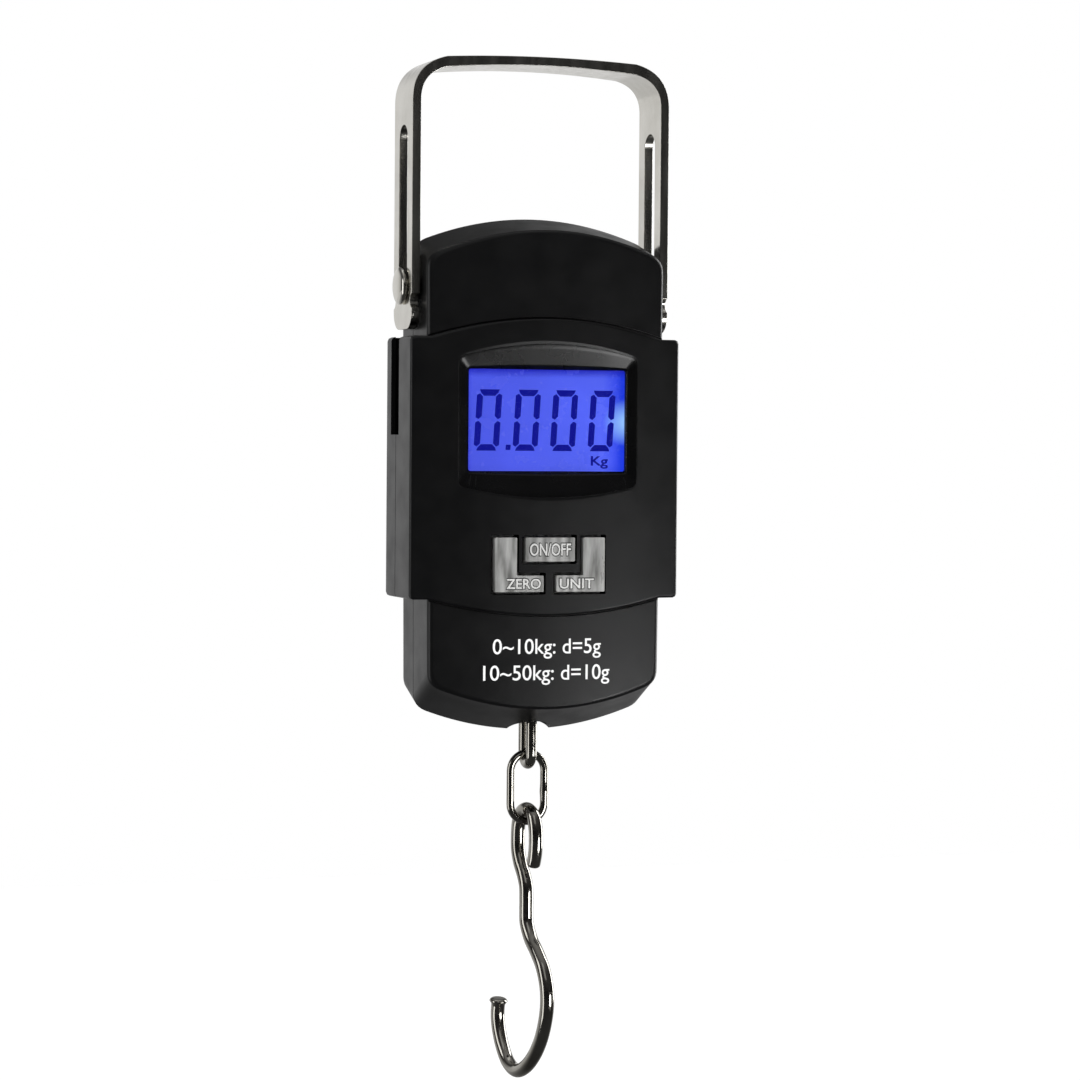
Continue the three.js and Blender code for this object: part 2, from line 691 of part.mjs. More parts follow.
function screw(x, z, radius, headRadius, [tip, seat, top]) {
  const slotted = box([x - headRadius, x + headRadius], [top - 0.5, top + 1], [z - 0.3, z + 0.3]);
  const crossed = box([x - 0.3, x + 0.3], [top - 0.5, top + 1], [z - headRadius, z + headRadius]);
  const drive = rod("y", headRadius * 0.6, [top - 0.6, top + 1], [x, z], 12);
  const shank = rod("y", radius, [tip, seat + 0.1], [x, z], 12);
  const head = rod("y", headRadius, [seat, top], [x, z], 20);
  return cut(join(shank, head), slotted.add(crossed).intersect(drive));
}

function gaugeCable() {
  const route = [
    [0, 5.3, -96],
    [0, 5.3, -86],
    [0, 5.3, -76],
    [4, 5.4, -71],
    [8.4, 5.2, -68.8],
    [9.8, 1.5, -68.6],
    [9.8, -2, -68.6],
    [9.2, -5, -69.2],
    [9, -5.4, -71.5],
  ];
  return openWire(route, 0.6, 36, 4);
}

// ---------------------------------------------------------------- the object
add("handle", handle(), "chromedSteel");
add("front_housing", frontHousing(), "blackPlastic");
add("rear_housing", rearHousing(), "blackPlastic");
add("battery_cover", batteryCover(), "blackPlastic");
add("display_window", box([-23, 23], [-12.6, -11.9], [-104.2, -74.1]), "clear");
add("lcd_panel", box([-22.6, 22.6], [-11.6, -9.5], [-104, -74.3]), "display");
add("backlight_panel", box([-22.4, 22.4], [-9.2, -6.6], [-103.8, -74.5]), "diffuser");
const boardHoles = boardScrews.map(([x, z]) => rod("y", 1.5, [-7, -4], [x, z], 16));
add("circuit_board", cut(box([-27.4, 27.4], [-6.2, -4.7], [-133.5, -72]), ...boardHoles), "board");
add("key_mat", keyMat(), "rubber");
add("zero_key", key(-1), "silverKey");
add("on_off_key", key(0), "silverKey");
add("unit_key", key(1), "silverKey");
add("load_yoke", yoke(), "zincSteel");
add("handle_stud_left", stud(-1), "chromedSteel");
add("handle_stud_right", stud(1), "chromedSteel");
add("stud_nut_left", hexNut("x", 7, [-26.8, -24.4], [0, STUD_Z], THREAD_HOLE), "zincSteel");
add("stud_nut_right", hexNut("x", 7, [24.4, 26.8], [0, STUD_Z], THREAD_HOLE), "zincSteel");
add("load_cell", loadCell(), "aluminium");
add("strain_gauge_left", box([-7.2, -6.8], [-2.5, 2.5], [-92, -84]), "gaugeFoil");
add("strain_gauge_right", box([6.8, 7.2], [-2.5, 2.5], [-92, -84]), "gaugeFoil");
add("gauge_cable", gaugeCable(), "rubber");
add("yoke_bolt", yokeBolt(), "zincSteel");
add("eye_bolt", eyeBolt(), "chromedSteel");
add("eye_bolt_nut", hexNut("z", 8, [CELL_BOTTOM - 3.3, CELL_BOTTOM - GAP], [0, 0], 2.6), "zincSteel");
add("chain_link", ovalWire(LINK_HALF, LINK_TOP, LINK_BOTTOM, LINK_WIRE, "x"), "chromedSteel");
add("hook", hook(), "chromedSteel", { turn: HOOK_TURN });
add("battery_left", battery(-1, true), "batteryWrap");
add("battery_right", battery(1, false), "batteryWrap");
add("contact_plate_left", contactPlate(-1, -79.9), "zincSteel");
add("contact_plate_right", contactPlate(1, -129.9), "zincSteel");
add("contact_spring_left", contactSpring(-1, -129.3, -125.5), "zincSteel");
add("contact_spring_right", contactSpring(1, -79.8, -84), "zincSteel");
housingScrews.forEach(([x, z], i) => {
  add(`housing_screw_${i + 1}`, screw(x, z, 1.1, 2, [-8.5, 7.7, 9.4]), "zincSteel");
});
boardScrews.forEach(([x, z], i) => {
  add(`board_screw_${i + 1}`, screw(x, z, 1, 1.9, [-11, -4.4, -3]), "zincSteel");
});

export default part;
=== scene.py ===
import math

import bmesh
import bpy
from mathutils import Matrix, Vector


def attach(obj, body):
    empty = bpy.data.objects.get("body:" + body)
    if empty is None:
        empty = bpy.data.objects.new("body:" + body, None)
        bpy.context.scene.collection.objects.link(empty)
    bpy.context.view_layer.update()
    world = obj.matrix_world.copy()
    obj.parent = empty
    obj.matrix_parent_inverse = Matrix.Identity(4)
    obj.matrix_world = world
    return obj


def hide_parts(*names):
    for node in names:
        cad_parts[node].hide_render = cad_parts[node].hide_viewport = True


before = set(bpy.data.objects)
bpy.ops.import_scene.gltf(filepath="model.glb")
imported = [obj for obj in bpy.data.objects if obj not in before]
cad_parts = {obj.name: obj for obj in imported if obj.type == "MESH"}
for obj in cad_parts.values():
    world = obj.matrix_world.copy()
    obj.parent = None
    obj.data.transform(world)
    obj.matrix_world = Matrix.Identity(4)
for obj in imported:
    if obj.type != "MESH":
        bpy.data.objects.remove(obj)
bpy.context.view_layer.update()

MM = 0.001

# ------------------------------------------------------------------ dimensions, in millimetres
BACK_Y = 10.1  # outside of the rear shell
SEAM = 0.14  # half the gap between the two shells
BODY_R = 76  # radius of the body's upper and lower edges
BEZEL_Y = -13.9  # deep edge of the display's sloped bezel
PANEL_Y = -11.6  # front of the display panel
KEY_Y, KEY_BACK = -16.9, -10.9  # front and back of the keys
STUD_Z = -55.7
TURN = math.radians(11.7)  # the hook's turn about its shank
HOUSING_SCREWS = [(-14, -45.2), (14, -45.2), (-20, -150), (20, -150)]


# ------------------------------------------------------------------ mesh helpers
def add_object(name, data):
    obj = bpy.data.objects.new(name, data)
    bpy.context.scene.collection.objects.link(obj)
    return obj


def evaluated_mesh(obj):
    """A new mesh of the object with its modifiers applied."""
    bpy.context.view_layer.update()
    evaluated = obj.evaluated_get(bpy.context.evaluated_depsgraph_get())
    return bpy.data.meshes.new_from_object(evaluated)


def make(name, verts, faces):
    """A smooth-shaded object from points in millimetres."""
    mesh = bpy.data.meshes.new(name)
    mesh.from_pydata([(x * MM, y * MM, z * MM) for x, y, z in verts], [], faces)
    bm = bmesh.new()
    bm.from_mesh(mesh)
    bmesh.ops.remove_doubles(bm, verts=bm.verts, dist=1e-7)
    bmesh.ops.recalc_face_normals(bm, faces=bm.faces)
    bm.to_mesh(mesh)
    bm.free()
    for p in mesh.polygons:
        p.use_smooth = True
    return add_object(name, mesh)


def loft(name, rings, closed=False):
    """Skins rings of equal length; the first and last are capped unless the loft closes on itself."""
    n = len(rings[0])
    verts = [v for ring in rings for v in ring]
    faces = []
    count = len(rings) if closed else len(rings) - 1
    for k in range(count):
        a, b = k * n, ((k + 1) % len(rings)) * n
        for i in range(n):
            j = (i + 1) % n
            faces.append((a + i, a + j, b + j, b + i))
    if not closed:
        faces.append(tuple(range(n)))
        faces.append(tuple((len(rings) - 1) * n + i for i in range(n)))
    return make(name, verts, faces)


def box(x, y, z):
    """A box between two values on each axis."""
    ring = [(x[0], y[0]), (x[1], y[0]), (x[1], y[1]), (x[0], y[1])]
    return loft("tool", [[(a, b, c) for a, b in ring] for c in z])


def rod(axis, radius, ends, at, sides=48):
    """A round bar along an axis, at the given place on the other two."""
    rings = []
    for s in ends:
        ring = []
        for i in range(sides):
            a = 2 * math.pi * i / sides
            p, q = at[0] + radius * math.cos(a), at[1] + radius * math.sin(a)
            ring.append({"x": (s, p, q), "y": (p, s, q), "z": (p, q, s)}[axis])
        rings.append(ring)
    return loft("tool", rings)


def quad(a, p, b, shares):
    """Points on the curve that leaves a towards p and reaches b from it."""
    a, p, b = Vector(a), Vector(p), Vector(b)
    return [tuple(a * (1 - t) ** 2 + p * 2 * t * (1 - t) + b * t * t) for t in shares]


def rounded(points, radius, steps=5):
    """A closed polygon with its corners rounded."""
    out = []
    n = len(points)
    for i, p in enumerate(points):
        p, before, after = Vector(p), Vector(points[i - 1]), Vector(points[(i + 1) % n])
        a = p + (before - p).normalized() * min(radius, (before - p).length * 0.49)
        b = p + (after - p).normalized() * min(radius, (after - p).length * 0.49)
        out += quad(a, p, b, [k / steps for k in range(steps + 1)])
    return out


def rectangle(half, z_low, z_high, radius):
    """An upright rectangle about X = 0 with its corners rounded."""
    return rounded([(-half, z_low), (half, z_low), (half, z_high), (-half, z_high)], radius)


def outward(side, near, far):
    """Two distances from the middle, as a low and a high X on one side."""
    return sorted((side * near, side * far))


def prism(name, outline, ends, axis="y"):
    """An outline drawn out along an axis."""

    def place(p, s):
        return {"y": (p[0], s, p[1]), "x": (s, p[0], p[1]), "z": (p[0], p[1], s)}[axis]

    return loft(name, [[place(p, s) for p in outline] for s in ends])


def combine(target, operation, *tools):
    """Joins each tool to the target, or cuts it out, and removes the tool."""
    for tool in tools:
        m = target.modifiers.new("combine", "BOOLEAN")
        m.operation = operation
        m.object = tool
        m.solver = "MANIFOLD"
        mesh = evaluated_mesh(target)
        target.modifiers.clear()
        target.data = mesh
        bpy.data.objects.remove(tool)
    return target


def cut(target, *tools):
    combine(target, "DIFFERENCE", *tools)


def soften(obj, width, segments=3, angle=32):
    """Rounds the sharp edges, and shades the rest smooth."""
    if width:
        b = obj.modifiers.new("edges", "BEVEL")
        b.width = width * MM
        b.segments = segments
        b.limit_method = "ANGLE"
        b.angle_limit = math.radians(angle)
        b.harden_normals = True
        b.use_clamp_overlap = True
        b.miter_outer = "MITER_ARC"
    for p in obj.data.polygons:
        p.use_smooth = True
    w = obj.modifiers.new("normals", "WEIGHTED_NORMAL")
    w.keep_sharp = True
    w.weight = 60


def settle_normals(obj, *fronts):
    """Applies the modifiers, then shades the bowed front faces by their true curve."""
    mesh = evaluated_mesh(obj)
    normals = [Vector(n.vector) for n in mesh.corner_normals]
    for face in mesh.polygons:
        if face.normal.y > -0.985:
            continue
        for corner in face.loop_indices:
            x, y, _ = mesh.vertices[mesh.loops[corner].vertex_index].co / MM
            for curve in fronts:
                if abs(y - curve(x)) < 0.12:
                    slope = (curve(x + 0.2) - curve(x - 0.2)) / 0.4
                    normals[corner] = Vector((slope, -1, 0)).normalized()
    mesh.normals_split_custom_set(normals)
    obj.modifiers.clear()
    obj.data = mesh


def circle(centre, s, u, radius, sides):
    """Points of a circle in the plane of the unit vectors s and u."""
    angles = [2 * math.pi * k / sides for k in range(sides)]
    return [tuple(centre + (s * math.cos(a) + u * math.sin(a)) * radius) for a in angles]


def tube(name, points, radius, closed=False, sides=28, radii=None):
    """A round wire along a line of points, with rounded ends."""
    pts = [Vector(p) for p in points]
    n = len(pts)
    tangents = []
    for i in range(n):
        a = pts[(i - 1) % n] if closed or i else pts[0]
        b = pts[(i + 1) % n] if closed or i < n - 1 else pts[-1]
        tangents.append((b - a).normalized())
    side = tangents[0].orthogonal().normalized()
    frames = []
    for i, t in enumerate(tangents):
        side = (side - t * side.dot(t)).normalized()
        frames.append((side.copy(), t.cross(side)))
    if closed:  # undo the twist left over at the join
        s0, u0 = frames[0]
        end = (frames[-1][0] - tangents[0] * frames[-1][0].dot(tangents[0])).normalized()
        twist = math.atan2(end.dot(u0), end.dot(s0))
        for i, (s, u) in enumerate(frames):
            a = -twist * i / (n - 1)
            frames[i] = (s * math.cos(a) + u * math.sin(a), u * math.cos(a) - s * math.sin(a))
    radii = radii or [radius] * n
    rings = [circle(pts[i], *frames[i], radii[i], sides) for i in range(n)]
    if closed:
        return loft(name, rings, closed)

    def end_cap(i, away):
        cap = []
        for a in (20, 40, 60, 80):
            proud, share = math.sin(math.radians(a)), math.cos(math.radians(a))
            centre = pts[i] + away * radius * 0.45 * proud
            cap.append(circle(centre, *frames[i], radii[i] * (0.55 + 0.45 * share), sides))
        return cap

    return loft(name, end_cap(0, -tangents[0])[::-1] + rings + end_cap(-1, tangents[-1]))


def spin(name, profile, axis_point, direction, sides=64):
    """A turned piece: profile is (distance along the axis, radius), starting and ending on the axis."""
    d = Vector(direction).normalized()
    s = d.orthogonal().normalized()
    u = d.cross(s)
    o = Vector(axis_point)
    return loft(name, [circle(o + d * along, s, u, max(r, 0.01), sides) for along, r in profile])


def spline(points, per=10):
    """A smooth line through the points."""
    pts = [Vector(p) for p in points]
    out = []
    for i in range(len(pts) - 1):
        p0 = pts[max(i - 1, 0)]
        p1, p2 = pts[i], pts[i + 1]
        p3 = pts[min(i + 2, len(pts) - 1)]
        for k in range(per):
            t = k / per
            bend = (2 * p0 - 5 * p1 + 4 * p2 - p3) * t * t
            twist = (3 * p1 - p0 - 3 * p2 + p3) * t * t * t
            out.append(0.5 * (2 * p1 + (p2 - p0) * t + bend + twist))
    out.append(pts[-1])
    return out


def put(obj, body, material, nodes=()):
    """Gives the piece its one material, its body, and the CAD nodes that it stands for."""
    obj.data.materials.clear()
    obj.data.materials.append(material)
    for p in obj.data.polygons:
        p.material_index = 0
    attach(obj, body)
    if nodes:
        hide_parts(*nodes)


# ------------------------------------------------------------------ materials
class Maker:
    """A node material round one Principled shader."""

    def __init__(self, name, color, roughness, metallic=0.0, **sockets):
        self.material = bpy.data.materials.new(name)
        self.material.use_nodes = True
        self.tree = self.material.node_tree
        self.bsdf = self.tree.nodes["Principled BSDF"]
        self.set("Base Color", (*color, 1))
        self.set("Roughness", roughness)
        self.set("Metallic", metallic)
        for key, value in sockets.items():
            self.set(key.replace("_", " "), value)
        self.where = self.node("ShaderNodeTexCoord").outputs["Object"]

    def set(self, key, value):
        self.bsdf.inputs[key].default_value = value

    def node(self, kind, **values):
        n = self.tree.nodes.new(kind)
        for key, value in values.items():
            setattr(n, key, value)
        return n

    def link(self, a, b):
        self.tree.links.new(a, b)

    def noise(self, scale, detail, stretch=None):
        """Noise in the object's own space, at a scale per metre."""
        n = self.node("ShaderNodeTexNoise")
        n.inputs["Scale"].default_value = scale
        n.inputs["Detail"].default_value = detail
        source = self.where
        if stretch:
            m = self.node("ShaderNodeMapping")
            m.inputs["Scale"].default_value = stretch
            self.link(self.where, m.inputs["Vector"])
            source = m.outputs["Vector"]
        self.link(source, n.inputs["Vector"])
        return n.outputs["Fac"]

    def spread(self, value, low, high, start=0.3, end=0.7):
        """Turns a value between start and end into one between low and high."""
        n = self.node("ShaderNodeMapRange")
        n.inputs["From Min"].default_value = start
        n.inputs["From Max"].default_value = end
        n.inputs["To Min"].default_value = low
        n.inputs["To Max"].default_value = high
        self.link(value, n.inputs["Value"])
        return n.outputs["Result"]

    def roughness(self, value, low, high):
        self.link(self.spread(value, low, high), self.bsdf.inputs["Roughness"])

    def tint(self, value, dark, light):
        """Varies the base colour between two colours."""
        ramp = self.node("ShaderNodeValToRGB")
        for element, position, color in zip(ramp.color_ramp.elements, (0.3, 0.7), (dark, light)):
            element.color = (*color, 1)
            element.position = position
        self.link(value, ramp.inputs["Fac"])
        self.link(ramp.outputs["Color"], self.bsdf.inputs["Base Color"])

    def bump(self, *layers):
        """Each layer is (height, distance in metres)."""
        last = None
        for height, distance in layers:
            n = self.node("ShaderNodeBump")
            n.inputs["Strength"].default_value = 1.0
            n.inputs["Distance"].default_value = distance
            self.link(height, n.inputs["Height"])
            if last is not None:
                self.link(last, n.inputs["Normal"])
            last = n.outputs["Normal"]
        self.link(last, self.bsdf.inputs["Normal"])


def plastic(name, dark, light, rough, grain=0.000012, shine=0.5):
    """Moulded plastic: cloudy colour and gloss, a fine grain, and slow waves in the surface."""
    m = Maker(name, dark, rough[0], Specular_IOR_Level=shine)
    m.tint(m.noise(60, 4), dark, light)
    m.roughness(m.noise(150, 5), *rough)
    m.bump((m.noise(2600, 2), grain), (m.noise(30, 1), 0.00002))
    return m.material


def metal(name, dark, light, rough, pits=0.000004, stretch=None, metallic=1.0):
    """Plated or milled metal. stretch draws the texture out along an axis, as rolling marks."""
    m = Maker(name, light, rough[0], metallic)
    m.tint(m.noise(90, 4), dark, light)
    m.roughness(m.noise(400, 4, stretch), *rough)
    m.bump((m.noise(900, 3, stretch), pits), (m.noise(70, 2), 0.000015))
    return m.material


FINE = 0.000004  # height of a fine grain, in metres
DARK_NICKEL, LIGHT_NICKEL = (0.6, 0.58, 0.53), (0.74, 0.72, 0.67)

black = plastic("black_moulding", (0.0016, 0.0016, 0.0019), (0.0026, 0.0026, 0.003), (0.31, 0.4), shine=0.36)
# a darker and smoother copy of the housing's black: the darkness is painted shade on the recess's sloped
# walls
painted_bezel_shade = plastic("black_bezel_painted_shade", (0.001, 0.001, 0.0012), (0.0016, 0.0016, 0.0018), (0.22, 0.3), FINE, 0.34)
# a darker, duller copy of the black: painted shade on the walls of the key openings
painted_pocket_shade = plastic("key_pocket_painted_shade", (0.0006, 0.0006, 0.0006), (0.001, 0.001, 0.001), (0.8, 0.9), FINE, 0.05)
nickel = metal("bright_nickel", DARK_NICKEL, LIGHT_NICKEL, (0.08, 0.2))
chrome = metal("dark_chrome", (0.3, 0.285, 0.25), (0.42, 0.405, 0.37), (0.07, 0.16), 0.000003)
strip_nickel = metal("nickel_strip", DARK_NICKEL, LIGHT_NICKEL, (0.1, 0.24), 0.000006, (1, 1, 0.12))
zinc = metal("zinc_plate", (0.4, 0.41, 0.42), (0.56, 0.57, 0.58), (0.28, 0.42))
alloy = metal("milled_alloy", (0.6, 0.61, 0.63), (0.72, 0.73, 0.75), (0.28, 0.4), 0.000006, (1, 1, 0.1))
key_face = Maker("silver_key_paint", (0.3, 0.3, 0.29), 0.36, 0.4)
key_face.tint(key_face.noise(520, 3, (1, 1, 0.16)), (0.13, 0.13, 0.125), (0.46, 0.46, 0.45))
key_face.roughness(key_face.noise(400, 4, (1, 1, 0.2)), 0.26, 0.42)
key_face.bump((key_face.noise(800, 3, (1, 1, 0.2)), 0.00001), (key_face.noise(70, 2), 0.000015))
key_paint = key_face.material
# a lighter, smoother silver than the key's, for the raised letters: painted highlight on the embossing
legend_highlight = metal("legend_silver_painted_highlight", (0.6, 0.6, 0.59), (0.75, 0.75, 0.73), (0.22, 0.3), FINE, None, 0.3)
rubber = plastic("silicone", (0.05, 0.05, 0.052), (0.07, 0.07, 0.072), (0.7, 0.85), 0.00002)
board = plastic("green_board", (0.012, 0.08, 0.03), (0.02, 0.12, 0.045), (0.3, 0.45))
diffuser = plastic("diffuser", (0.75, 0.76, 0.85), (0.82, 0.83, 0.9), (0.4, 0.5))
wrap = plastic("battery_wrap", (0.02, 0.035, 0.06), (0.03, 0.05, 0.08), (0.25, 0.35), FINE)
film = plastic("gauge_film", (0.45, 0.2, 0.04), (0.55, 0.27, 0.06), (0.4, 0.5))
white_ink = plastic("white_ink", (0.72, 0.72, 0.72), (0.82, 0.82, 0.82), (0.5, 0.62))
segment = Maker("segment_ink", (0.002, 0.002, 0.03), 0.6, Specular_IOR_Level=0.1)
segment.tint(segment.noise(300, 2), (0.002, 0.002, 0.025), (0.003, 0.003, 0.04))
segment.set("Emission Color", (0.006, 0.008, 0.3, 1))
segment.set("Emission Strength", 0.9)
segment_ink = segment.material
# near-black laid under the raised letters: painted shade round their edges
legend_edge_shade = plastic("legend_edge_painted_shade", (0.03, 0.03, 0.03), (0.04, 0.04, 0.04), (0.5, 0.6))


def lit_display():
    """The blue backlight: even across the panel, deeper at the right, with a pale patch by the lamp."""
    m = Maker("lit_display", (0.02, 0.025, 0.3), 0.25)

    def blend(factor, a, b):
        n = m.node("ShaderNodeMix", data_type="RGBA")
        for index, value in ((0, factor), (6, a), (7, b)):
            if isinstance(value, tuple):
                n.inputs[index].default_value = (*value, 1)
            else:
                m.link(value, n.inputs[index])
        return n.outputs[2]

    def edge(value, start, end):
        return m.spread(value, 0, 1, start, end)

    place = m.node("ShaderNodeSeparateXYZ")
    m.link(m.where, place.inputs["Vector"])
    x, z = place.outputs["X"], place.outputs["Z"]
    lamp = m.node("ShaderNodeVectorMath", operation="DISTANCE")
    lamp.inputs[1].default_value = (0.0215, -0.0116, -0.0895)
    m.link(m.where, lamp.inputs[0])
    near = m.spread(lamp.outputs["Value"], 1, 0, 0.001, 0.006)
    wide = m.spread(lamp.outputs["Value"], 1, 0, 0.004, 0.034)
    color = blend(wide, (0.07, 0.098, 0.7), (0.09, 0.135, 0.86))
    color = blend(edge(x, 0.0155, 0.0205), color, (0.015, 0.045, 0.72))
    color = blend(edge(z, -0.0785, -0.0764), color, (0.012, 0.016, 0.42))
    color = blend(edge(x, -0.0192, -0.0208), color, (0.03, 0.035, 0.62))
    color = blend(near, color, (0.3, 0.55, 1.0))
    m.link(color, m.bsdf.inputs["Emission Color"])
    m.link(m.spread(m.noise(70, 2), 0.95, 1.08), m.bsdf.inputs["Emission Strength"])
    m.roughness(m.noise(300, 2), 0.2, 0.3)
    return m.material


def clear_plastic():
    glass = {"Transmission_Weight": 1.0, "IOR": 1.25, "Specular_IOR_Level": 0.3}
    m = Maker("clear_window", (0.96, 0.97, 1.0), 0.03, **glass)
    m.roughness(m.noise(200, 3), 0.01, 0.05)
    return m.material


display = lit_display()
window = clear_plastic()


# ------------------------------------------------------------------ housing outlines
def arched(top, bottom, z_top, z_bottom, bulge_top, bulge_bottom, r):
    """An upright outline with curved upper and lower edges; top and bottom are its half widths there."""
    across, along = 30, 14
    shares = [k / 6 for k in range(1, 6)]

    def upper(x):
        return z_top + bulge_top * (1 - (x / top) ** 2)

    def lower(x):
        return z_bottom - bulge_bottom * (1 - (x / bottom) ** 2)

    def side(start, end):
        return [tuple(Vector(start).lerp(Vector(end), i / along)) for i in range(along + 1)]

    out = []
    for i in range(across + 1):
        x = (top - r) * (2 * i / across - 1)
        out.append((x, upper(x)))
    right_top, right_low = (top, upper(top) - r), (bottom, lower(bottom) + r)
    out += quad(out[-1], (top, upper(top)), right_top, shares)
    out += side(right_top, right_low)
    out += quad(right_low, (bottom, lower(bottom)), (bottom - r, lower(bottom - r)), shares)
    for i in range(across + 1):
        x = (bottom - r) * (1 - 2 * i / across)
        out.append((x, lower(x)))
    left_low, left_top = (-bottom, lower(bottom) + r), (-top, upper(top) - r)
    out += quad(out[-1], (-bottom, lower(bottom)), left_low, shares)
    out += side(left_low, left_top)
    out += quad(left_top, (-top, upper(top)), (-(top - r), upper(top - r)), shares)
    return out


def arc_sag(half, radius=BODY_R):
    return radius - math.sqrt(radius * radius - half * half)


def narrow_outline(drop, rise, inset=0.0):
    """The housing's section away from the band, lowered at the top and raised at the bottom."""
    top, bottom = 31.3 - inset, 30.5 - inset
    sag_top, sag_bottom = arc_sag(top), arc_sag(bottom)
    z_top = -38.1 - drop - inset - sag_top
    z_bottom = -167.8 + rise + inset + sag_bottom
    return arched(top, bottom, z_top, z_bottom, sag_top, sag_bottom, 3.2)


def band_outline():
    """The raised band: square shoulders, and an arc above and below between them."""
    half, shoulder, z_top, z_bottom = 35.5, 30.6, -68.4, -133.9

    def edge(sign_x, z, bulge):
        pts = []
        for i in range(31):
            x = sign_x * shoulder * (1 - 2 * i / 30)
            pts.append((x, z + bulge * (1 - (x / shoulder) ** 2)))
        return pts

    r = 1.0
    right = [(half - r, z_top), (half - 0.3, z_top - 0.3), (half, z_top - r)]
    right += [(half, z_top + (z_bottom - z_top) * i / 16) for i in range(1, 16)]
    right += [(half, z_bottom + r), (half - 0.3, z_bottom + 0.3), (half - r, z_bottom)]
    left = [(-x, z) for x, z in reversed(right)]
    return edge(-1, z_top, 4.7) + right + edge(1, z_bottom, -4.1) + left


def bow(edge, middle, half):
    """The Y of a front that curves from the middle back to the edges, as a function of X."""
    sag = edge - middle
    radius = (half * half + sag * sag) / (2 * sag)
    return lambda x: middle + radius - math.sqrt(max(radius * radius - x * x, 0))


narrow_front = bow(-12.9, -15.4, 31.3)
band_front = bow(-12.9, -16.4, 35.5)
SHRINK = (0.02, 0.2, 0.4, 0.6, 0.78, 0.9)


def toward(outline, share):
    """The outline scaled about its middle."""
    zs = [z for _, z in outline]
    middle = (max(zs) + min(zs)) / 2
    return [(x * share, middle + (z - middle) * share) for x, z in outline]


def less(outline, inset):
    """The outline brought in by a distance at its widest and its tallest."""
    zs = [z for _, z in outline]
    half_x, half_z = max(x for x, _ in outline), (max(zs) - min(zs)) / 2
    middle = (max(zs) + min(zs)) / 2
    return [(x * (1 - inset / half_x), middle + (z - middle) * (1 - inset / half_z)) for x, z in outline]


def shell_solid(name, outline_at, front, tapers, edge, back_edge):
    """The outside of a housing part. outline_at(drop, rise) gives the section; it is largest at Y = 0.

    tapers holds the drop and rise at the front, then at the back; the edges are rounding radii.
    """
    (drop, rise), (back_drop, back_rise) = tapers
    rings = []
    first = outline_at(drop, rise)
    for share in SHRINK:
        rings.append([(x, front(x), z) for x, z in toward(less(first, edge), share)])
    for k in range(6):
        a = k / 5 * math.pi / 2
        inset, dy = edge * (1 - math.sin(a)), edge * (1 - math.cos(a))
        rings.append([(x, front(x) + dy, z) for x, z in less(first, inset)])
    for k in range(1, 7):
        t = k / 6
        here = outline_at(drop * (1 - t), rise * (1 - t))
        rings.append([(x, (front(x) + edge) * (1 - t), z) for x, z in here])
    for k in range(1, 5):
        t = k / 4
        here = outline_at(back_drop * t, back_rise * t)
        rings.append([(x, (BACK_Y - back_edge) * t, z) for x, z in here])
    last = outline_at(back_drop, back_rise)
    for k in range(1, 7):
        a = k / 6 * math.pi / 2
        y = BACK_Y - back_edge + back_edge * math.sin(a)
        rings.append([(x, y, z) for x, z in less(last, back_edge * (1 - math.cos(a)))])
    for share in reversed(SHRINK):
        rings.append([(x, BACK_Y, z) for x, z in toward(less(last, back_edge), share)])
    return loft(name, rings)


def outer_body(name):
    """The whole housing as one solid, with a groove round the raised band."""
    narrow = shell_solid(name, narrow_outline, narrow_front, ((3.4, 6), (1.75, 3.5)), 1.3, 1.3)
    line = less(band_outline(), -0.4)
    groove = [[(x, -20, z) for x, z in line]]
    for share in (1.0, *reversed(SHRINK)):
        groove.append([(x, narrow_front(x) + 0.6, z) for x, z in toward(line, share)])
    cut(narrow, loft("tool", groove))
    band = shell_solid("tool", lambda drop, rise: band_outline(), band_front, ((0, 0), (0, 0)), 0.8, 2.2)
    return combine(narrow, "UNION", band)


def hollow():
    """The room inside, which both shells share."""
    rings = []
    stations = [(-12.0, 2.7, 4.75), (-9.5, 2.1, 3.8), (0, 0, 0), (8.3, 1.45, 2.9)]
    for y, drop, rise in stations:
        rings.append([(x, y, z) for x, z in narrow_outline(drop, rise, 1.8)])
    solid = loft("tool", rings)
    corner = [(31.5, -9.0), (24.5, -12.4), (31.5, -12.4)]
    for side in (-1, 1):
        cut(solid, prism("tool", [(side * x, y) for x, y in corner], (-170, -36), "z"))
    return solid


def shared_cuts():
    """The hollow, the eye bolt's hole, and on each side the handle's slot, its mouth and the stud's hole."""
    tools = [hollow(), rod("z", 5.6, (-172, -156), (0, 0))]
    for side in (-1, 1):
        tools.append(box(outward(side, 31.3, 34.35), (-8.4, 8.4), (-132, -60)))
        tools.append(box(outward(side, 34.0, 37.0), (-2.4, 4.6), (-93, -60)))
        tools.append(rod("x", 3.9, outward(side, 27.3, 32.3), (0, STUD_Z)))
    return tools


def other_half(front):
    """What is cut away to leave the front shell, or the rear shell."""
    y = (-SEAM, 60) if front else (-60, SEAM)
    return box((-60, 60), y, (-200, 0))


# ------------------------------------------------------------------ keys
def key_outline(side, g, radius):
    """The middle key, or the L-shaped key on one side, grown by g all round."""
    top = -118.4 + g
    if side == 0:
        return rectangle(6.5 + g, -124.4 - g, top, radius)
    outer, inner, near, foot, low = 14.45 + g, 8.75 - g, 1.7 - g, -127.9 + g, -132 - g
    pts = [(outer, top), (outer, low), (near, low), (near, foot), (inner, foot), (inner, top)]
    return rounded([(side * x, z) for x, z in pts], radius)


# ------------------------------------------------------------------ front shell
recess_near = [(x, band_front(x), z) for x, z in arched(23.8, 23.8, -73.1, -106.0, 3.8, 3.2, 1.6)]
recess_deep = [(x, BEZEL_Y, z) for x, z in arched(20.8, 20.8, -76.4, -101.9, 0, 0, 0.7)]


def between(t):
    """The recess's sloped wall, from its near edge at 0 to its deep edge at 1."""
    return [tuple(Vector(a).lerp(Vector(b), t)) for a, b in zip(recess_near, recess_deep)]


